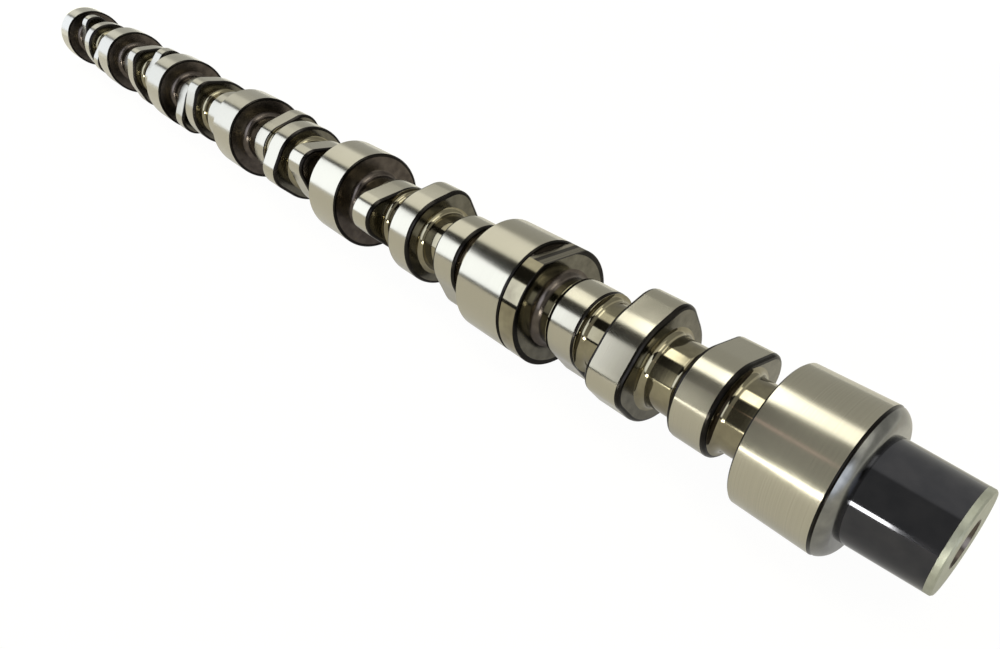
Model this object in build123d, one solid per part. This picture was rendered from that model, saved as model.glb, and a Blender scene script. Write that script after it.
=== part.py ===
from build123d import *
import os
from math import acos, cos, degrees, radians, sin, tan

os.makedirs("parts", exist_ok=True)

# Camshaft of a heavy in-line six-cylinder diesel engine, forged, turned and ground in one piece.
# Millimetres. The shaft's axis is X, with the tapered drive nose at the +X end, and the origin
# is halfway along the shaft. Angles about the axis run from +Y towards +Z.

# Bearing journals: one at each end and one between each two neighbouring cylinders
cylinders = 6
cylinder_pitch = 165.0
journal_diameter = 64.0
journal_width = 34.0
journal_chamfer = 0.8
journal_root_chamfer = 3.2

# Forged core between the journals and lobes
core_diameter = 35.0

# Timing ring: a narrow collar in front of the second journal, with one flat milled on it
ring_width = 11.0
ring_groove_width = 1.2
ring_groove_depth = 1.4
ring_flat_depth = 3.5
ring_flat_angle = 86.0
second_journal_setback = 3.0

# Lobes. Each cylinder has a front valve lobe, a middle injector lobe with two low noses, and a
# rear valve lobe. The shaft goes into its bearings endways, so no tip reaches the journals.
tip_clearance = 0.5

front_lobe_offset = 38.5
front_lobe_width = 19.5
front_lobe_base_radius = 22.7
front_lobe_nose_radius = 13.0
front_lobe_angle = 20.9

injector_lobe_offset = 0.0
injector_lobe_width = 20.5
injector_lobe_base_radius = 27.5
injector_lobe_nose_radius = 14.0
injector_lobe_lift = 3.7
injector_lobe_angle = 67.9
injector_nose_spacing = 112.0

rear_lobe_offset = -36.0
rear_lobe_width = 19.0
rear_lobe_base_radius = 21.2
rear_lobe_nose_radius = 13.5
valve_lobe_separation = 100.0

# The order in which the cylinders fire, counted from the drive nose
firing_order = [1, 5, 3, 6, 2, 4]

# Drive nose: a rounded shoulder behind a narrow groove, a tapered seat for the gear, and a
# tapped hole for its screw
shoulder_groove_width = 0.5
shoulder_groove_depth = 0.8
shoulder_rim_drop = 0.5
shoulder_round_length = 4.1
shoulder_round_depth = 5.2
shoulder_round_radius = 7.8
seat_root_diameter = 44.4
seat_length = 31.9
seat_taper = 1 / 12
seat_end_chamfer = 0.6
screw_hole_diameter = 14.0
screw_hole_depth = 42.0
screw_hole_mouth_diameter = 20.0
drill_point_angle = 118.0
countersink_angle = 60.0

# Rear end: a lathe centre
centre_hole_diameter = 8.0
centre_hole_depth = 12.0
centre_mouth_diameter = 14.0

# Derived sizes
journal_radius = journal_diameter / 2
core_radius = core_diameter / 2
tip_radius = journal_radius - tip_clearance
injector_tip_radius = injector_lobe_base_radius + injector_lobe_lift
bearing_length = cylinders * cylinder_pitch + journal_width
shoulder_length = shoulder_groove_width + shoulder_round_length
overall_length = bearing_length + shoulder_length + seat_length
rear_end = -overall_length / 2
bearing_front = rear_end + bearing_length
nose_end = overall_length / 2


def journal_centre(number):
    """Place along the axis of a journal, numbered from 0 at the drive nose."""
    setback = second_journal_setback if number == 1 else 0
    return bearing_front - journal_width / 2 - number * cylinder_pitch - setback


def bay_centre(cylinder):
    """Place along the axis of a cylinder's middle, numbered from 1 at the drive nose."""
    return bearing_front - journal_width / 2 - (cylinder - 0.5) * cylinder_pitch


def cylinder_phase(cylinder):
    """Angle by which a cylinder's lobes lie ahead of those of cylinder 1."""
    return firing_order.index(cylinder) * 360 / cylinders


def turned(profile_points):
    """A solid turned about the axis from points (place along the axis, radius)."""
    return revolve(make_face(Polyline(profile_points, close=True)), Axis.X)


def round_bar(rear, front, radius):
    """A turned bar from rear to front."""
    return turned([(rear, 0), (rear, radius), (front, radius), (front, 0)])


def journal(number):
    """A bearing journal with both its edges chamfered."""
    rear = journal_centre(number) - journal_width / 2
    blank = round_bar(rear, rear + journal_width, journal_radius)
    return chamfer(blank.edges().filter_by(GeomType.CIRCLE), journal_chamfer)


def ring_rear():
    """Where the timing ring starts, in front of the second journal and its groove."""
    return journal_centre(1) + journal_width / 2 + ring_groove_width


def timing_ring():
    """The collar with its milled flat, and the floor of the groove behind it."""
    rear = ring_rear()
    collar = round_bar(rear, rear + ring_width, journal_radius)
    cutter = Pos(journal_radius - ring_flat_depth + journal_radius / 2, 0, 0) * Box(
        journal_radius, 3 * journal_radius, 3 * ring_width
    )
    cutter_place = Plane((rear + ring_width / 2, 0, 0), x_dir=(0, 1, 0), z_dir=(1, 0, 0))
    collar -= cutter_place * Rot(0, 0, ring_flat_angle) * cutter
    groove_floor = round_bar(rear - ring_groove_width, rear, journal_radius - ring_groove_depth)
    return collar + groove_floor


def polar(radius, angle, centre=(0.0, 0.0)):
    return (centre[0] + radius * cos(radians(angle)), centre[1] + radius * sin(radians(angle)))


def cam_outline(base_radius, nose_radius, nose_tip_radius, nose_angles):
    """A tangent cam: arcs of the base circle and of the noses, joined by straight flanks."""
    offset = nose_tip_radius - nose_radius
    flank = degrees(acos((base_radius - nose_radius) / offset))
    outline = []
    for number, angle in enumerate(nose_angles):
        following = nose_angles[(number + 1) % len(nose_angles)]
        base_arc = (following - angle - 1) % 360 + 1 - 2 * flank
        centre = polar(offset, angle)
        outline += [
            Line(polar(base_radius, angle - flank), polar(nose_radius, angle - flank, centre)),
            CenterArc(centre, nose_radius, angle - flank, 2 * flank),
            Line(polar(nose_radius, angle + flank, centre), polar(base_radius, angle + flank)),
            CenterArc((0, 0), base_radius, angle + flank, base_arc),
        ]
    return make_face(outline)


def lobe(centre, width, outline):
    """A lobe of the given outline and width."""
    place = Plane((centre - width / 2, 0, 0), x_dir=(0, 1, 0), z_dir=(1, 0, 0))
    return extrude(place * outline, width)


def cylinder_lobes(cylinder):
    """The three lobes of one cylinder."""
    centre = bay_centre(cylinder)
    phase = cylinder_phase(cylinder)
    front_angle = front_lobe_angle + phase
    injector_angle = injector_lobe_angle + phase
    sizes = [
        (
            front_lobe_offset,
            front_lobe_width,
            cam_outline(front_lobe_base_radius, front_lobe_nose_radius, tip_radius, [front_angle]),
        ),
        (
            injector_lobe_offset,
            injector_lobe_width,
            cam_outline(
                injector_lobe_base_radius,
                injector_lobe_nose_radius,
                injector_tip_radius,
                [injector_angle, injector_angle + injector_nose_spacing],
            ),
        ),
        (
            rear_lobe_offset,
            rear_lobe_width,
            cam_outline(
                rear_lobe_base_radius,
                rear_lobe_nose_radius,
                tip_radius,
                [front_angle - valve_lobe_separation],
            ),
        ),
    ]
    return [lobe(centre + offset, width, outline) for offset, width, outline in sizes]


def root_edges(part, stations):
    """The edges where the core meets side faces that stand at the given stations."""
    circles = part.edges().filter_by(GeomType.CIRCLE)
    return [
        edge
        for edge in circles
        if abs(edge.radius - core_radius) < 0.01
        and any(abs(edge.arc_center.X - station) < 0.01 for station in stations)
    ]


def drive_nose():
    """The rounded shoulder in front of the first journal, and the tapered seat beyond it."""
    seat_rear = nose_end - seat_length
    root_radius = seat_root_diameter / 2
    end_radius = root_radius - seat_length * seat_taper / 2
    groove_front = bearing_front + shoulder_groove_width
    groove_radius = journal_radius - shoulder_groove_depth
    rim = (groove_front, journal_radius - shoulder_rim_drop)
    corner = (seat_rear, rim[1] - shoulder_round_depth)
    rear = bearing_front - journal_width / 2
    outline = [
        Polyline((rear, 0), (rear, groove_radius), (groove_front, groove_radius), rim),
        RadiusArc(rim, corner, shoulder_round_radius),
        Polyline(
            corner,
            (seat_rear, root_radius),
            (nose_end - seat_end_chamfer, end_radius + seat_end_chamfer * seat_taper / 2),
            (nose_end, end_radius - seat_end_chamfer),
            (nose_end, 0),
            (rear, 0),
        ),
    ]
    return revolve(make_face(outline), Axis.X)


def screw_hole():
    """The cutter of the hole in the drive nose: drill point, tapped wall and countersink."""
    hole_radius = screw_hole_diameter / 2
    mouth_radius = screw_hole_mouth_diameter / 2
    bottom = nose_end - screw_hole_depth
    point = hole_radius / tan(radians(drill_point_angle / 2))
    sink = (mouth_radius - hole_radius) / tan(radians(countersink_angle / 2))
    return turned(
        [
            (bottom - point, 0),
            (bottom, hole_radius),
            (nose_end - sink, hole_radius),
            (nose_end, mouth_radius),
            (nose_end + seat_end_chamfer, mouth_radius),
            (nose_end + seat_end_chamfer, 0),
        ]
    )


def lathe_centre():
    """The cutter of the centre hole in the rear end."""
    hole_radius = centre_hole_diameter / 2
    mouth_radius = centre_mouth_diameter / 2
    sink = (mouth_radius - hole_radius) / tan(radians(countersink_angle / 2))
    bottom = rear_end + centre_hole_depth
    return turned(
        [
            (rear_end - journal_chamfer, 0),
            (rear_end - journal_chamfer, mouth_radius),
            (rear_end, mouth_radius),
            (rear_end + sink, hole_radius),
            (bottom, hole_radius),
            (bottom, 0),
        ]
    )


def camshaft():
    """The whole shaft, as one solid."""
    core = round_bar(rear_end + journal_width / 2, bearing_front - journal_width / 2, core_radius)
    journals = [journal(number) for number in range(cylinders + 1)]
    shaft = core + journals + timing_ring() + drive_nose()
    half_width = journal_width / 2
    side_faces = [ring_rear() + ring_width]
    side_faces += [journal_centre(number) - half_width for number in range(cylinders)]
    side_faces += [journal_centre(number) + half_width for number in range(2, cylinders + 1)]
    shaft = chamfer(root_edges(shaft, side_faces), journal_root_chamfer)
    for cylinder in range(1, cylinders + 1):
        shaft += cylinder_lobes(cylinder)
    return shaft - screw_hole() - lathe_centre()


export_step(camshaft(), "parts/camshaft.step")
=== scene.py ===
from math import acos, atan2, cos, pi, radians, sin, tan

import bmesh
import bpy
from mathutils import Matrix, Vector


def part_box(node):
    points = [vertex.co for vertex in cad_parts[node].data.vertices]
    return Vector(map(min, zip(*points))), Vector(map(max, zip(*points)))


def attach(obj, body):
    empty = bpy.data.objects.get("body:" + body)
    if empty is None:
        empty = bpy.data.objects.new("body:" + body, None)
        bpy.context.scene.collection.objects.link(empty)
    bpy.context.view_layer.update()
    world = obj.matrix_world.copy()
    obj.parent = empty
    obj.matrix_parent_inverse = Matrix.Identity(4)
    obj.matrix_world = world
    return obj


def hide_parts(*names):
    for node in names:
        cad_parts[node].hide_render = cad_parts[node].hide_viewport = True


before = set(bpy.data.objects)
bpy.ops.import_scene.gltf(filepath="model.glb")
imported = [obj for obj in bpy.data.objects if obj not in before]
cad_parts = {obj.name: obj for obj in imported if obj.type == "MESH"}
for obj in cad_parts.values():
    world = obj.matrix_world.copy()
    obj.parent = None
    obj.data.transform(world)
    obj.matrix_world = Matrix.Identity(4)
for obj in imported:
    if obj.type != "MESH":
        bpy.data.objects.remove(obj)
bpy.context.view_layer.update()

MM = 0.001

# The shaft's own sizes, as the solid has them. Its axis is X, with the drive nose at +X.
CYLINDERS = 6
PITCH = 165.0 * MM
JOURNAL_RADIUS = 32.0 * MM
JOURNAL_WIDTH = 34.0 * MM
JOURNAL_CHAMFER = 0.8 * MM
CORE_RADIUS = 17.5 * MM
SECOND_JOURNAL_SETBACK = 3.0 * MM

RING_WIDTH = 11.0 * MM
GROOVE_WIDTH = 1.2 * MM
GROOVE_DEPTH = 1.4 * MM
FLAT_DEPTH = 3.5 * MM
FLAT_ANGLE = radians(86.0)

SHOULDER_GROOVE_WIDTH = 0.5 * MM
SHOULDER_GROOVE_DEPTH = 0.8 * MM
SHOULDER_RIM_DROP = 0.5 * MM
SHOULDER_ROUND_LENGTH = 4.1 * MM
SHOULDER_ROUND_DEPTH = 5.2 * MM
SHOULDER_ROUND_RADIUS = 7.8 * MM
SEAT_ROOT_RADIUS = 22.2 * MM
SEAT_LENGTH = 31.9 * MM
SEAT_TAPER = 1 / 24
SEAT_END_CHAMFER = 0.6 * MM

SCREW_HOLE_RADIUS = 7.0 * MM
SCREW_HOLE_DEPTH = 42.0 * MM
SCREW_HOLE_MOUTH = 10.0 * MM
CENTRE_HOLE_RADIUS = 4.0 * MM
CENTRE_HOLE_DEPTH = 12.0 * MM
CENTRE_MOUTH_RADIUS = 7.0 * MM
COUNTERSINK_ANGLE = radians(60)
DRILL_POINT_ANGLE = radians(118)

FIRING_ORDER = [1, 5, 3, 6, 2, 4]
REAR_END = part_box("camshaft")[0][0]
NOSE_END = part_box("camshaft")[1][0]
BEARING_FRONT = REAR_END + CYLINDERS * PITCH + JOURNAL_WIDTH

# What the scene adds: broken edges, root fillets, bands of painted shade beside the edges, bands
# of bare metal, and a thread
LOBE_EDGE = 2.0 * MM
RING_EDGE = 0.4 * MM
LOBE_FILLET = 3.4 * MM
JOURNAL_FILLET = 4.0 * MM
# Width of the near-black band of painted shade on a side face beside its chamfer
SHADE_BAND = 1.2 * MM
BARE_BAND = 2.6 * MM
THREAD_RADIUS = 8.0 * MM
THREAD_PITCH = 2.0 * MM
THREAD_CLEARANCE = 0.05 * MM

# The core reaches this far into its side faces, and has an edge loop this far from its fillets
ROOT_REACH = 0.3 * MM
STRAIGHT_MARGIN = 0.3 * MM

# Fineness of the meshes
ROUND_STEPS = 128
ARC_STEPS = 40
THREAD_STEPS = 36
BASE_STEP = radians(2)
SHARP_ANGLE = radians(25)
RIM_ANGLE = radians(60)
WELD_DISTANCE = 1e-6

# Finishes, as places in the list of materials
# The rim finish is near black: painted shade on broken edges, chamfers, the bands beside them and
# the shoulder's groove
GROUND, DARK, CORE, NOSE, BARE, MILLED, PAINTED_SHADE, SHOULDER, LOBE_SIDE = range(9)

# The lobes of a cylinder: offset from its middle, width, base radius, nose radius, tip radius,
# and the angles of the noses on cylinder 1
LOBES = [
    (38.5 * MM, 19.5 * MM, 22.7 * MM, 13.0 * MM, 31.5 * MM, [20.9]),
    (0.0 * MM, 20.5 * MM, 27.5 * MM, 14.0 * MM, 31.2 * MM, [67.9, 179.9]),
    (-36.0 * MM, 19.0 * MM, 21.2 * MM, 13.5 * MM, 31.5 * MM, [-79.1]),
]


# Materials

# Noise keeps near its middle, so colours and roughness spread over this part of its range
NOISE_LOW = 0.3
NOISE_HIGH = 0.7


def new_material(name):
    """A material with its shader, and a short way to add and join nodes."""
    material = bpy.data.materials.new(name)
    material.use_nodes = True
    nodes = material.node_tree.nodes
    links = material.node_tree.links
    shader = nodes["Principled BSDF"]

    def add(kind, **settings):
        node = nodes.new(kind)
        for key, value in settings.items():
            setattr(node, key, value)
        return node

    return material, shader, add, links.new


def shaft_place(add, join):
    """The place along the shaft and the distance from its axis, in the piece's own space."""
    parts = add("ShaderNodeSeparateXYZ")
    join(add("ShaderNodeTexCoord").outputs["Object"], parts.inputs[0])
    across = add("ShaderNodeCombineXYZ")
    join(parts.outputs["Y"], across.inputs["Y"])
    join(parts.outputs["Z"], across.inputs["Z"])
    length = add("ShaderNodeVectorMath", operation="LENGTH")
    join(across.outputs[0], length.inputs[0])
    return parts.outputs["X"], length.outputs["Value"]


def lines(add, join, place, period, detail=2.0):
    """Uneven lines, side by side, about one to each period of a place."""
    periods = add("ShaderNodeMath", operation="DIVIDE")
    join(place, periods.inputs[0])
    periods.inputs[1].default_value = period
    noise = add("ShaderNodeTexNoise", noise_dimensions="1D")
    join(periods.outputs[0], noise.inputs["W"])
    noise.inputs["Scale"].default_value = 1.0
    noise.inputs["Detail"].default_value = detail
    return noise.outputs["Fac"]


def mottle(add, join, size, detail=3.0):
    """Soft patches of a given size."""
    noise = add("ShaderNodeTexNoise")
    join(add("ShaderNodeTexCoord").outputs["Object"], noise.inputs["Vector"])
    noise.inputs["Scale"].default_value = 1 / size
    noise.inputs["Detail"].default_value = detail
    return noise.outputs["Fac"]


def blend(add, join, share, low, high, start=NOISE_LOW, end=NOISE_HIGH):
    """A colour that goes from low to high as share goes from start to end."""
    ramp = add("ShaderNodeValToRGB")
    join(share, ramp.inputs[0])
    ramp.color_ramp.elements[0].position = start
    ramp.color_ramp.elements[0].color = (*low, 1)
    ramp.color_ramp.elements[1].position = end
    ramp.color_ramp.elements[1].color = (*high, 1)
    return ramp.outputs["Color"]


def spread(add, join, share, low, high):
    """A number that goes from low to high with a noise."""
    node = add("ShaderNodeMapRange")
    join(share, node.inputs["Value"])
    node.inputs["From Min"].default_value = NOISE_LOW
    node.inputs["From Max"].default_value = NOISE_HIGH
    node.inputs["To Min"].default_value = low
    node.inputs["To Max"].default_value = high
    return node.outputs["Result"]


def relief(add, join, shader, height, depth):
    """Raises the surface by a height between 0 and 1, times a depth."""
    bump = add("ShaderNodeBump")
    bump.inputs["Strength"].default_value = 1.0
    bump.inputs["Distance"].default_value = depth
    join(height, bump.inputs["Height"])
    join(bump.outputs["Normal"], shader.inputs["Normal"])


def ground_steel():
    """Ground running surfaces, with fine lines round the shaft."""
    material, shader, add, join = new_material("ground_steel")
    along, _ = shaft_place(add, join)
    grind = lines(add, join, along, 0.5 * MM)
    colour = blend(add, join, grind, (0.405, 0.385, 0.320), (0.440, 0.420, 0.350))
    join(colour, shader.inputs["Base Color"])
    shader.inputs["Metallic"].default_value = 1.0
    join(spread(add, join, mottle(add, join, 12 * MM), 0.15, 0.19), shader.inputs["Roughness"])
    relief(add, join, shader, grind, 0.002 * MM)
    return material


def turned_steel(name, low, high, roughness, period=0.9 * MM, depth=0.006 * MM):
    """A turned side face, with lines round its own centre."""
    material, shader, add, join = new_material(name)
    _, radius = shaft_place(add, join)
    marks = lines(add, join, radius, period)
    join(blend(add, join, mottle(add, join, 5 * MM), low, high), shader.inputs["Base Color"])
    shader.inputs["Metallic"].default_value = 1.0
    shader.inputs["Roughness"].default_value = roughness
    relief(add, join, shader, marks, depth)
    return material


def tinted_and_shaded_core():
    """The core between the lobes, with a warm, uneven heat tint and a colour darkened as painted
    shade.
    """
    material, shader, add, join = new_material("forged_core")
    along, _ = shaft_place(add, join)
    tint = mottle(add, join, 9 * MM)
    # Partly the warm heat tint, partly darkened as painted shade for the core's place in the gaps
    # between the lobes
    colour = blend(add, join, tint, (0.20, 0.178, 0.125), (0.29, 0.265, 0.185))
    join(colour, shader.inputs["Base Color"])
    shader.inputs["Metallic"].default_value = 1.0
    shader.inputs["Roughness"].default_value = 0.08
    relief(add, join, shader, lines(add, join, along, 1.2 * MM), 0.002 * MM)
    return material


def black_nose():
    """The black oxide of the drive seat, over fine turning lines."""
    material, shader, add, join = new_material("black_nose")
    along, _ = shaft_place(add, join)
    patches = mottle(add, join, 6 * MM)
    colour = blend(add, join, patches, (0.046, 0.047, 0.055), (0.058, 0.058, 0.066))
    join(colour, shader.inputs["Base Color"])
    shader.inputs["Metallic"].default_value = 1.0
    shader.inputs["Roughness"].default_value = 0.065
    relief(add, join, shader, lines(add, join, along, 0.7 * MM), 0.001 * MM)
    return material


def milled_flat():
    """The flat's milled face, with the cutter's streaks across the ring."""
    material, shader, add, join = new_material("milled_flat")
    along, _ = shaft_place(add, join)
    streaks = lines(add, join, along, 5.0 * MM, 3.5)
    colour = blend(add, join, streaks, (0.03, 0.025, 0.018), (0.36, 0.33, 0.26), 0.4, 0.62)
    join(colour, shader.inputs["Base Color"])
    shader.inputs["Metallic"].default_value = 1.0
    shader.inputs["Roughness"].default_value = 0.26
    relief(add, join, shader, streaks, 0.02 * MM)
    return material


MATERIALS = [
    ground_steel(),
    turned_steel("dark_sides", (0.068, 0.057, 0.051), (0.118, 0.101, 0.089), 0.24),
    tinted_and_shaded_core(),
    black_nose(),
    turned_steel("nose_end", (0.34, 0.35, 0.29), (0.42, 0.43, 0.37), 0.5),
    milled_flat(),
    # Near black: painted shade on edges, chamfers and the shoulder's groove
    turned_steel("rims_painted_shade", (0.012, 0.011, 0.010), (0.022, 0.020, 0.018), 0.25),
    turned_steel("shoulder", (0.17, 0.17, 0.167), (0.24, 0.24, 0.23), 0.24),
    # Lobe side faces: their grey-olive tone, darkened as painted shade for their place between
    # the lobes
    turned_steel("lobe_sides", (0.12, 0.113, 0.093), (0.18, 0.17, 0.14), 0.15, depth=0.003 * MM),
]


# Shapes


def journal_centre(number):
    """Place along the shaft of a journal, numbered from 0 at the nose."""
    setback = SECOND_JOURNAL_SETBACK if number == 1 else 0
    return BEARING_FRONT - JOURNAL_WIDTH / 2 - number * PITCH - setback


def bay_centre(cylinder):
    """Place along the shaft of a cylinder's middle, numbered from 1 at the nose."""
    return BEARING_FRONT - JOURNAL_WIDTH / 2 - (cylinder - 0.5) * PITCH


def cylinder_phase(cylinder):
    """How far a cylinder's lobes are turned ahead of those of cylinder 1."""
    return FIRING_ORDER.index(cylinder) * 2 * pi / CYLINDERS


def band_finish(profile, finishes, place):
    """The finish of the band of a profile that a point (place along the axis, radius) lies on."""

    def gap(band):
        start, end = Vector(profile[band]), Vector(profile[band + 1])
        along = end - start
        share = max(0, min(1, (place - start).dot(along) / along.length_squared))
        return (start + along * share - place).length

    return finishes[min(range(len(finishes)), key=gap)]


def turned(bm, profile, finishes):
    """Adds a closed skin, turned from a profile of (place along the axis, radius).

    finishes gives the material of each band, from one point of the profile to the next.
    """
    skin = bmesh.new()
    verts = [skin.verts.new((x, 0, radius)) for x, radius in profile]
    edges = [skin.edges.new(pair) for pair in zip(verts, verts[1:])]
    bmesh.ops.spin(
        skin,
        geom=verts + edges,
        cent=(0, 0, 0),
        axis=(1, 0, 0),
        angle=2 * pi,
        steps=ROUND_STEPS,
        use_merge=True,
    )
    bmesh.ops.remove_doubles(skin, verts=skin.verts[:], dist=WELD_DISTANCE)
    for face in skin.faces:
        middle = face.calc_center_median()
        place = Vector((middle.x, middle.yz.length / cos(pi / ROUND_STEPS)))
        face.material_index = band_finish(profile, finishes, place)
    add_skin(bm, skin)


def add_skin(bm, skin):
    """Moves a finished skin into a piece's mesh."""
    mesh = bpy.data.meshes.new("skin")
    skin.to_mesh(mesh)
    skin.free()
    bm.from_mesh(mesh)
    bpy.data.meshes.remove(mesh)


def fillet(x, radius, size, side, steps=6):
    """Points of a root fillet from the core, at radius, up to a side face at x.

    side is 1 where the face stands in front of the core, and -1 where it stands behind it.
    """
    points = []
    for step in range(steps + 1):
        turn = pi / 2 * step / steps
        points.append((x - side * size * (1 - sin(turn)), radius + size * (1 - cos(turn))))
    return points


def finished_piece(name, bm):
    """Makes a piece from its mesh, with all the finishes, riding on the shaft's body."""
    bmesh.ops.recalc_face_normals(bm, faces=bm.faces[:])
    mesh = bpy.data.meshes.new(name)
    for face in bm.faces:
        face.smooth = True
    for edge in bm.edges:
        sides = {face.material_index for face in edge.link_faces}
        edge.smooth = len(sides) == 1 and edge.calc_face_angle(0) < SHARP_ANGLE
    bm.to_mesh(mesh)
    bm.free()
    for material in MATERIALS:
        mesh.materials.append(material)
    piece = bpy.data.objects.new(name, mesh)
    bpy.context.scene.collection.objects.link(piece)
    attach(piece, "root")
    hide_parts("camshaft")


def lathe_centre():
    """Points of the centre hole in the rear end, from its bottom out to its mouth."""
    bottom = REAR_END + CENTRE_HOLE_DEPTH
    sink = (CENTRE_MOUTH_RADIUS - CENTRE_HOLE_RADIUS) / tan(COUNTERSINK_ANGLE / 2)
    return [
        (bottom, 0),
        (bottom, CENTRE_HOLE_RADIUS),
        (REAR_END + sink, CENTRE_HOLE_RADIUS),
        (REAR_END, CENTRE_MOUTH_RADIUS),
    ]


def bearing_journals():
    """The seven ground journals, each with dark side faces. The last has the lathe centre."""
    bm = bmesh.new()
    for number in range(CYLINDERS + 1):
        rear = journal_centre(number) - JOURNAL_WIDTH / 2
        front = rear + JOURNAL_WIDTH
        start = lathe_centre() if number == CYLINDERS else [(rear, 0)]
        turned(
            bm,
            [
                *start,
                (rear, JOURNAL_RADIUS - JOURNAL_CHAMFER - SHADE_BAND),
                (rear, JOURNAL_RADIUS - JOURNAL_CHAMFER),
                (rear + JOURNAL_CHAMFER, JOURNAL_RADIUS),
                (front - JOURNAL_CHAMFER, JOURNAL_RADIUS),
                (front, JOURNAL_RADIUS - JOURNAL_CHAMFER),
                (front, JOURNAL_RADIUS - JOURNAL_CHAMFER - SHADE_BAND),
                (front, 0),
            ],
            # The chamfers and the bands beside them take the near-black rim finish, painted shade
            [DARK] * len(start) + [PAINTED_SHADE, PAINTED_SHADE, GROUND, PAINTED_SHADE, PAINTED_SHADE, DARK],
        )
    finished_piece("bearing_journals", bm)


def timing_ring():
    """The ring in front of the second journal, with its milled flat and the groove behind it."""
    bm = bmesh.new()
    rear = journal_centre(1) + JOURNAL_WIDTH / 2 + GROOVE_WIDTH
    front = rear + RING_WIDTH
    floor = JOURNAL_RADIUS - GROOVE_DEPTH
    turned(
        bm,
        [
            (rear - GROOVE_WIDTH - RING_EDGE, 0),
            (rear - GROOVE_WIDTH - RING_EDGE, floor),
            (rear, floor),
            (rear, JOURNAL_RADIUS - RING_EDGE),
            (rear + RING_EDGE, JOURNAL_RADIUS),
            (front - RING_EDGE, JOURNAL_RADIUS),
            (front, JOURNAL_RADIUS - RING_EDGE),
            (front, JOURNAL_RADIUS - RING_EDGE - 2 * SHADE_BAND),
            (front, 0),
        ],
        # The ring's front chamfer and the band beside it take the near-black rim finish, painted
        # shade
        [DARK, DARK, DARK, DARK, CORE, PAINTED_SHADE, PAINTED_SHADE, LOBE_SIDE],
    )
    normal = Vector((0, cos(FLAT_ANGLE), sin(FLAT_ANGLE)))
    mill_flat(bm, normal)
    finished_piece("timing_ring", bm)


def mill_flat(bm, normal):
    """Mills the flat on the ring, down to its depth, and closes the cut."""
    cut = bmesh.ops.bisect_plane(
        bm,
        geom=bm.verts[:] + bm.edges[:] + bm.faces[:],
        plane_co=normal * (JOURNAL_RADIUS - FLAT_DEPTH),
        plane_no=normal,
        clear_outer=True,
    )
    rim = [edge for edge in cut["geom_cut"] if isinstance(edge, bmesh.types.BMEdge)]
    filled = bmesh.ops.contextual_create(bm, geom=rim)
    for face in filled["faces"]:
        face.material_index = MILLED


def arc(bm, vert, centre, angle, steps):
    """Sweeps on from a vertex about a centre in the lobe's plane, and returns the last vertex."""
    swept = bmesh.ops.spin(
        bm, geom=[vert], cent=centre, axis=(1, 0, 0), angle=angle, steps=steps, use_merge=False
    )
    return next(item for item in swept["geom_last"] if isinstance(item, bmesh.types.BMVert))


def polar(x, radius, angle):
    """A point at a place along the shaft, a radius and an angle from +Y towards +Z."""
    return Vector((x, radius * cos(angle), radius * sin(angle)))


def lobe(bm, rear, width, base_radius, nose_radius, tip_radius, nose_angles):
    """Adds a tangent cam: a base circle and noses joined by straight flanks."""
    offset = tip_radius - nose_radius
    flank = acos((base_radius - nose_radius) / offset)
    skin = bmesh.new()
    vert = None
    for number, angle in enumerate(nose_angles):
        following = nose_angles[(number + 1) % len(nose_angles)]
        base_arc = (following - angle - radians(1)) % (2 * pi) + radians(1) - 2 * flank
        centre = polar(rear, offset, angle)
        start = skin.verts.new(centre + polar(0, nose_radius, angle - flank))
        if vert:
            skin.edges.new((vert, start))
        vert = arc(skin, start, centre, 2 * flank, ARC_STEPS)
        base = skin.verts.new(polar(rear, base_radius, angle + flank))
        skin.edges.new((vert, base))
        vert = arc(skin, base, (rear, 0, 0), base_arc, round(base_arc / BASE_STEP))
        if number == 0:
            first = start
    skin.edges.new((vert, first))
    face = bmesh.ops.contextual_create(skin, geom=skin.edges[:])["faces"][0]
    grown = bmesh.ops.extrude_face_region(skin, geom=[face])
    moved = [item for item in grown["geom"] if isinstance(item, bmesh.types.BMVert)]
    bmesh.ops.translate(skin, verts=moved, vec=(width, 0, 0))
    add_skin(bm, skin)


def cam_lobes():
    """The three lobes of each cylinder, turned by its place in the firing order."""
    bm = bmesh.new()
    for cylinder in range(1, CYLINDERS + 1):
        for offset, width, base_radius, nose_radius, tip_radius, angles in LOBES:
            rear = bay_centre(cylinder) + offset - width / 2
            turned_on = [radians(angle) + cylinder_phase(cylinder) for angle in angles]
            lobe(bm, rear, width, base_radius, nose_radius, tip_radius, turned_on)
    bmesh.ops.recalc_face_normals(bm, faces=bm.faces[:])
    for face in bm.faces:
        face.material_index = LOBE_SIDE if abs(face.normal.x) > 0.5 else GROUND
    rims = [edge for edge in bm.edges if edge.calc_face_angle() > RIM_ANGLE]
    bevelled = bmesh.ops.bevel(
        bm,
        geom=rims,
        offset=LOBE_EDGE,
        offset_type="OFFSET",
        segments=3,
        profile=0.5,
        affect="EDGES",
        material=-1,
    )
    # The bevels take the near-black rim finish, painted shade
    for face in bevelled["faces"]:
        face.material_index = PAINTED_SHADE
    finished_piece("cam_lobes", bm)


def side_faces():
    """All side faces along the shaft, from the rear: (place, root fillet) in pairs, one pair
    to each stretch of bare core."""
    faces = []
    for number in range(CYLINDERS + 1):
        centre = journal_centre(number)
        faces.append((centre - JOURNAL_WIDTH / 2, JOURNAL_FILLET))
        reach = GROOVE_WIDTH + RING_WIDTH if number == 1 else 0
        faces.append((centre + JOURNAL_WIDTH / 2 + reach, JOURNAL_FILLET))
    for cylinder in range(1, CYLINDERS + 1):
        for offset, width, *_ in LOBES:
            centre = bay_centre(cylinder) + offset
            faces.append((centre - width / 2, LOBE_FILLET))
            faces.append((centre + width / 2, LOBE_FILLET))
    faces.sort()
    inner = faces[1:-1]
    return list(zip(inner[::2], inner[1::2]))


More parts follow.
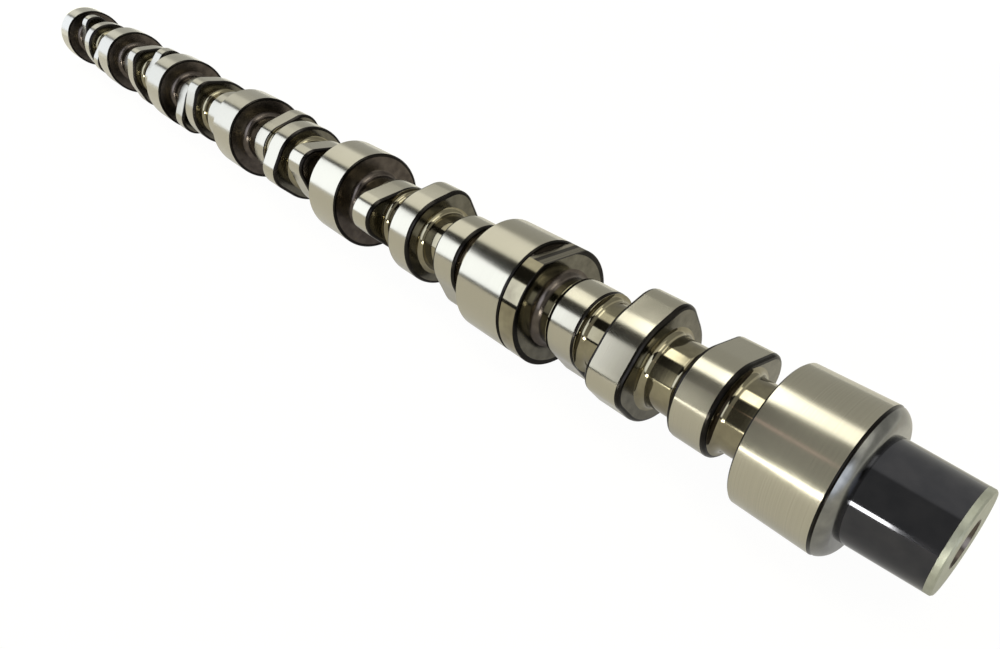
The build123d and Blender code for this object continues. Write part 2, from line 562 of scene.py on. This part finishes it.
def forged_core():
    """The bare stretches of core, each blended into the side faces at its ends."""
    bm = bmesh.new()
    for (rear, rear_fillet), (front, front_fillet) in side_faces():
        behind = fillet(rear, CORE_RADIUS, rear_fillet, -1)[::-1]
        ahead = fillet(front, CORE_RADIUS, front_fillet, 1)
        rear_rim = (rear - ROOT_REACH, behind[0][1])
        front_rim = (front + ROOT_REACH, ahead[-1][1])
        straight = [
            (behind[-1][0] + STRAIGHT_MARGIN, CORE_RADIUS),
            (ahead[0][0] - STRAIGHT_MARGIN, CORE_RADIUS),
        ]
        profile = [(rear_rim[0], 0), rear_rim, *behind, *straight, *ahead]
        profile += [front_rim, (front_rim[0], 0)]
        rear_finish = DARK if rear_fillet == JOURNAL_FILLET else CORE
        front_finish = DARK if front_fillet == JOURNAL_FILLET else CORE
        finishes = [rear_finish] * (len(behind) + 1) + [CORE] * 3
        finishes += [front_finish] * (len(ahead) + 1)
        turned(bm, profile, finishes)
    finished_piece("forged_core", bm)


def shoulder_round(steps=8):
    """Points of the shoulder's rounded front, from its rim to its face."""
    rim = Vector((BEARING_FRONT + SHOULDER_GROOVE_WIDTH, JOURNAL_RADIUS - SHOULDER_RIM_DROP))
    corner = rim + Vector((SHOULDER_ROUND_LENGTH, -SHOULDER_ROUND_DEPTH))
    chord = corner - rim
    drop = (SHOULDER_ROUND_RADIUS**2 - chord.length_squared / 4) ** 0.5
    centre = (rim + corner) / 2 + Vector((chord.y, -chord.x)).normalized() * drop
    start = atan2(rim.y - centre.y, rim.x - centre.x)
    end = atan2(corner.y - centre.y, corner.x - centre.x)
    turns = [start + (end - start) * step / steps for step in range(steps + 1)]
    return [
        (
            centre.x + SHOULDER_ROUND_RADIUS * cos(turn),
            centre.y + SHOULDER_ROUND_RADIUS * sin(turn),
        )
        for turn in turns
    ]


def screw_thread(bm):
    """The thread in the nose's hole: one closed ridge that winds in along the wall."""
    ridge = bmesh.new()
    root = THREAD_RADIUS + 2 * THREAD_CLEARANCE
    start = NOSE_END - SCREW_HOLE_DEPTH + THREAD_PITCH
    run = SCREW_HOLE_DEPTH - (SCREW_HOLE_MOUTH - SCREW_HOLE_RADIUS) / tan(COUNTERSINK_ANGLE / 2)
    turns = (run - 2 * THREAD_PITCH) / THREAD_PITCH
    # The ridge's section: place, as a share of the pitch, and radius
    section = [
        (0.06, root),
        (0.44, SCREW_HOLE_RADIUS),
        (0.56, SCREW_HOLE_RADIUS),
        (0.94, root),
    ]
    verts = [
        ridge.verts.new((start + share * THREAD_PITCH, 0, radius)) for share, radius in section
    ]
    face = ridge.faces.new(verts)
    steps = round(turns * THREAD_STEPS)
    bmesh.ops.spin(
        ridge,
        geom=verts + face.edges[:] + [face],
        cent=(0, 0, 0),
        axis=(1, 0, 0),
        dvec=(turns * THREAD_PITCH / steps, 0, 0),
        angle=2 * pi * turns,
        steps=steps,
        use_merge=False,
        use_duplicate=False,
    )
    for face in ridge.faces:
        face.material_index = DARK
    add_skin(bm, ridge)


def drive_nose():
    """The shoulder in front of the first journal, and the tapered seat with its screw hole."""
    bm = bmesh.new()
    seat_rear = NOSE_END - SEAT_LENGTH
    groove_front = BEARING_FRONT + SHOULDER_GROOVE_WIDTH
    groove_radius = JOURNAL_RADIUS - SHOULDER_GROOVE_DEPTH
    end_radius = SEAT_ROOT_RADIUS - SEAT_LENGTH * SEAT_TAPER
    wall = THREAD_RADIUS + THREAD_CLEARANCE
    sink = (SCREW_HOLE_MOUTH - wall) / tan(COUNTERSINK_ANGLE / 2)
    bottom = NOSE_END - SCREW_HOLE_DEPTH
    point = wall / tan(DRILL_POINT_ANGLE / 2)
    rounded = shoulder_round()
    profile = [
        (BEARING_FRONT - JOURNAL_WIDTH / 2, 0),
        (BEARING_FRONT - JOURNAL_WIDTH / 2, groove_radius),
        (groove_front, groove_radius),
        *rounded,
        (seat_rear, SEAT_ROOT_RADIUS),
        (NOSE_END - BARE_BAND, SEAT_ROOT_RADIUS - (SEAT_LENGTH - BARE_BAND) * SEAT_TAPER),
        (NOSE_END - SEAT_END_CHAMFER, end_radius + SEAT_END_CHAMFER * SEAT_TAPER),
        (NOSE_END, end_radius - SEAT_END_CHAMFER),
        (NOSE_END, SCREW_HOLE_MOUTH),
        (NOSE_END - sink, wall),
        (bottom, wall),
        (bottom - point, 0),
    ]
    # The shoulder's groove takes the near-black rim finish, painted shade
    finishes = [DARK, PAINTED_SHADE] + [SHOULDER] * (len(rounded) + 1)
    # The countersink, wall and drill point of the screw hole take the dark finish as painted
    # shade in the hole
    finishes += [NOSE, BARE, BARE, BARE, DARK, DARK, DARK]
    turned(bm, profile, finishes)
    screw_thread(bm)
    finished_piece("drive_nose", bm)


bearing_journals()
timing_ring()
cam_lobes()
forged_core()
drive_nose()


# Floor, surroundings and camera

FLOOR_HALF = 0.9
FLOOR_COLOUR = (0.68, 0.63, 0.45)
FLOOR_ROUGHNESS = 0.6
FLOOR_WHITE = 1.04
FLOOR_WHITE_SEEN = 0.93
FLOOR_WHITE_MIRRORED = 0.45


def pale_floor():
    """A floor that takes the shaft's shadow under a share of plain white.

    The camera sees most of the white. Reflections and refractions see about half of it.
    """
    bm = bmesh.new()
    bmesh.ops.create_grid(bm, x_segments=1, y_segments=1, size=FLOOR_HALF)
    bmesh.ops.translate(bm, verts=bm.verts[:], vec=(0, 0, -JOURNAL_RADIUS))
    mesh = bpy.data.meshes.new("floor")
    bm.to_mesh(mesh)
    bm.free()
    floor = bpy.data.objects.new("floor", mesh)
    bpy.context.scene.collection.objects.link(floor)
    material, shader, add, join = new_material("pale_floor")
    shader.inputs["Base Color"].default_value = (*FLOOR_COLOUR, 1)
    shader.inputs["Roughness"].default_value = FLOOR_ROUGHNESS
    shader.inputs["Specular IOR Level"].default_value = 0.0
    white = add("ShaderNodeEmission")
    white.inputs["Strength"].default_value = FLOOR_WHITE
    path = add("ShaderNodeLightPath")
    mirrored = add("ShaderNodeMath", operation="MAXIMUM")
    join(path.outputs["Is Glossy Ray"], mirrored.inputs[0])
    join(path.outputs["Is Transmission Ray"], mirrored.inputs[1])
    mirrored_share = add("ShaderNodeMath", operation="MULTIPLY")
    join(mirrored.outputs[0], mirrored_share.inputs[0])
    mirrored_share.inputs[1].default_value = FLOOR_WHITE_MIRRORED
    share = add("ShaderNodeMath", operation="MULTIPLY_ADD")
    join(path.outputs["Is Camera Ray"], share.inputs[0])
    share.inputs[1].default_value = FLOOR_WHITE_SEEN
    join(mirrored_share.outputs[0], share.inputs[2])
    mix = add("ShaderNodeMixShader")
    join(share.outputs[0], mix.inputs[0])
    join(shader.outputs[0], mix.inputs[1])
    join(white.outputs[0], mix.inputs[2])
    output = material.node_tree.nodes["Material Output"]
    join(mix.outputs[0], output.inputs["Surface"])
    mesh.materials.append(material)


pale_floor()

# The room's brightness, as patches painted one over another. Each has a brightness, a band of
# height and a band of lean. Height is the angle in degrees about the shaft's axis, from the
# horizon on the -Y side up over the top. Lean is how far a direction points along the shaft,
# from 0 to 1. A band is its low end, its high end and its softness, and None leaves an end open.
GROUND_LEVEL = 0.85
BELOW_HORIZON = (None, -2.6, 0.5)
ABOVE_HORIZON = (-2.6, None, 0.5)
ANY_LEAN = (None, None, 0)
WINDOW_TOP = "window top"
WINDOW_HEIGHT = (0, WINDOW_TOP, 1.2)
WINDOW_LEAN = (0.528, None, 0.055)
FLARE_HEIGHT = (43.7, 46.3, 0.6)
FLARE_LEAN = (0.235, 0.33, 0.008)
FIRST_GAP = (0.326, 0.372, 0.006)
SECOND_GAP = (0.441, 0.486, 0.006)
GAP = 0.03
CORE_PANEL = 6.2
PATCHES = [
    # Sky and overhead panels
    (0.53, ABOVE_HORIZON, ANY_LEAN),
    (2.8, (78, 103, 4), (0.17, 0.34, 0.03)),
    (1.7, (78, 103, 4), (0.34, 0.56, 0.03)),
    (2.8, (78, 116, 4), (0.56, 0.61, 0.015)),
    (1.4, (75, 126, 6), (0.62, 0.87, 0.03)),
    (1.05, (75, 112, 6), (0.87, None, 0.03)),
    (0.95, (76, None, 6), (None, 0.15, 0.02)),
    # Wall in front of the shaft, and a glow low on it
    (0.43, (0, 75, 2.5), (None, 0.42, 0.03)),
    (0.6, (0, 46, 2.5), (0.5, 0.58, 0.03)),
    (1.15, (None, 33, 27), (0.372, 0.53, 0.01)),
    (GROUND_LEVEL, BELOW_HORIZON, ANY_LEAN),
    # Window, its far end, and the dark wall over it
    (2.45, WINDOW_HEIGHT, WINDOW_LEAN),
    (1.6, WINDOW_HEIGHT, (0.9, None, 0.06)),
    (GAP, (WINDOW_TOP, 75, 2), (0.42, None, 0.03)),
    # Lamps along the sill, and the dark strips over them
    (9.0, (-2.8, 1.2, 0.5), (0.17, 0.332, 0.01)),
    (6.5, (-4.5, 1.0, 0.5), (0.374, 0.438, 0.01)),
    (34.0, (-2.8, 4.5, 0.5), (0.062, 0.17, 0.008)),
    (GAP, (1.0, 4.2, 0.4), (0.374, 0.5, 0.01)),
    (GAP, (-2.8, 4.4, 0.4), (0.486, 0.72, 0.01)),
    # Two dark gaps between the panels, each under a bright strip
    (CORE_PANEL, (76, 106, 3), FIRST_GAP),
    (GAP, (4, 72, 2), FIRST_GAP),
    (CORE_PANEL, (76, 106, 3), SECOND_GAP),
    (GAP, (4, 72, 2), SECOND_GAP),
    # A thin pink flare across the wall
    (1.5, FLARE_HEIGHT, FLARE_LEAN),
]

# The window's top edge rises with lean, between two heights in degrees
WINDOW_TOP_RISE = 124
WINDOW_TOP_START = -37
WINDOW_TOP_LEAST = 46
WINDOW_TOP_MOST = 67

WARM_LIGHT = (1.0, 0.99, 0.89)
COOL_LIGHT = (0.93, 0.99, 1.1)
PINK_LIGHT = (1.0, 0.72, 0.66)
BACKDROP_LEVEL = 1.15
BACKDROP_MIRRORED = (None, -5.2, 0.4)
LIGHT_MAP_SIZE = 1024


def surroundings():
    """The room round the shaft, with the brightness of PATCHES, and white behind the shaft.

    The camera sees the white all round, and reflections see it below the horizon.
    """
    world = bpy.data.worlds.new("studio")
    bpy.context.scene.world = world
    world.use_nodes = True
    nodes = world.node_tree.nodes
    join = world.node_tree.links.new
    background = nodes["Background"]

    def fill(socket, value):
        if isinstance(value, (int, float)):
            socket.default_value = value
        else:
            join(value, socket)

    def math(operation, *values):
        node = nodes.new("ShaderNodeMath")
        node.operation = operation
        for socket, value in zip(node.inputs, values):
            fill(socket, value)
        return node.outputs[0]

    def step(value, edge, soft):
        """0 below an edge and 1 above it, with a soft rise."""
        node = nodes.new("ShaderNodeMapRange")
        node.interpolation_type = "SMOOTHSTEP"
        join(value, node.inputs["Value"])
        fixed = isinstance(edge, (int, float))
        fill(node.inputs["From Min"], edge - soft if fixed else math("SUBTRACT", edge, soft))
        fill(node.inputs["From Max"], edge + soft if fixed else math("ADD", edge, soft))
        return node.outputs["Result"]

    def band(value, low, high, soft):
        """1 where a value lies in a band, and 0 outside it."""
        rise = 1 if low is None else step(value, low, soft)
        fall = 1 if high is None else math("SUBTRACT", 1, step(value, high, soft))
        return math("MULTIPLY", rise, fall)

    def tinted(share, plain, tint):
        """A colour that goes from plain to a tint with share. Plain is a colour or a socket."""
        node = nodes.new("ShaderNodeMix")
        node.data_type = "RGBA"
        join(share, node.inputs["Factor"])
        if isinstance(plain, tuple):
            node.inputs[6].default_value = (*plain, 1)
        else:
            join(plain, node.inputs[6])
        node.inputs[7].default_value = (*tint, 1)
        return node.outputs[2]

    parts = nodes.new("ShaderNodeSeparateXYZ")
    join(nodes.new("ShaderNodeTexCoord").outputs["Generated"], parts.inputs[0])
    x, y, z = parts.outputs
    lean = math("ABSOLUTE", x)
    height = math("MULTIPLY", math("ARCTAN2", z, math("MULTIPLY", y, -1)), 180 / pi)
    window_top = math("MULTIPLY_ADD", lean, WINDOW_TOP_RISE, WINDOW_TOP_START)
    window_top = math("MINIMUM", math("MAXIMUM", window_top, WINDOW_TOP_LEAST), WINDOW_TOP_MOST)

    def patch(height_band, lean_band):
        """1 where both height and lean lie in their bands."""
        low, high, soft = (window_top if end == WINDOW_TOP else end for end in height_band)
        return math("MULTIPLY", band(height, low, high, soft), band(lean, *lean_band))

    level = GROUND_LEVEL
    for brightness, height_band, lean_band in PATCHES:
        change = math("SUBTRACT", brightness, level)
        level = math("MULTIPLY_ADD", patch(height_band, lean_band), change, level)

    path = nodes.new("ShaderNodeLightPath")
    mirrored = math("MAXIMUM", path.outputs["Is Glossy Ray"], path.outputs["Is Transmission Ray"])
    below = math("MULTIPLY", mirrored, band(height, *BACKDROP_MIRRORED))
    seen = nodes.new("ShaderNodeMix")
    seen.data_type = "FLOAT"
    join(math("MAXIMUM", path.outputs["Is Camera Ray"], below), seen.inputs[0])
    join(level, seen.inputs[2])
    seen.inputs[3].default_value = BACKDROP_LEVEL
    join(seen.outputs[0], background.inputs["Strength"])
    colour = tinted(patch(WINDOW_HEIGHT, WINDOW_LEAN), WARM_LIGHT, COOL_LIGHT)
    colour = tinted(patch(FLARE_HEIGHT, FLARE_LEAN), colour, PINK_LIGHT)
    join(colour, background.inputs["Color"])
    world.cycles.sampling_method = "MANUAL"
    world.cycles.sample_map_resolution = LIGHT_MAP_SIZE


surroundings()

SENSOR_WIDTH = 36
FRAME_WIDTH = 1000
FOCAL_LENGTH = 708.2
CAMERA_PLACE = (BEARING_FRONT + 0.05639, -0.2187, 0.19051)
CAMERA_FORWARD = (-0.6385, 0.5375, -0.5509)


def camera():
    """The camera looks along the shaft from in front of the nose and above it."""
    data = bpy.data.cameras.new("camera")
    data.sensor_width = SENSOR_WIDTH
    data.lens = FOCAL_LENGTH / FRAME_WIDTH * SENSOR_WIDTH
    data.clip_start = 0.01
    data.clip_end = 50
    eye = bpy.data.objects.new("camera", data)
    bpy.context.scene.collection.objects.link(eye)
    forward = Vector(CAMERA_FORWARD).normalized()
    right = forward.cross(Vector((0, 0, 1))).normalized()
    up = right.cross(forward)
    turn = Matrix((right, up, -forward)).transposed().to_4x4()
    eye.matrix_world = Matrix.Translation(CAMERA_PLACE) @ turn
    bpy.context.scene.camera = eye


camera()

scene = bpy.context.scene
scene.view_settings.view_transform = "Standard"
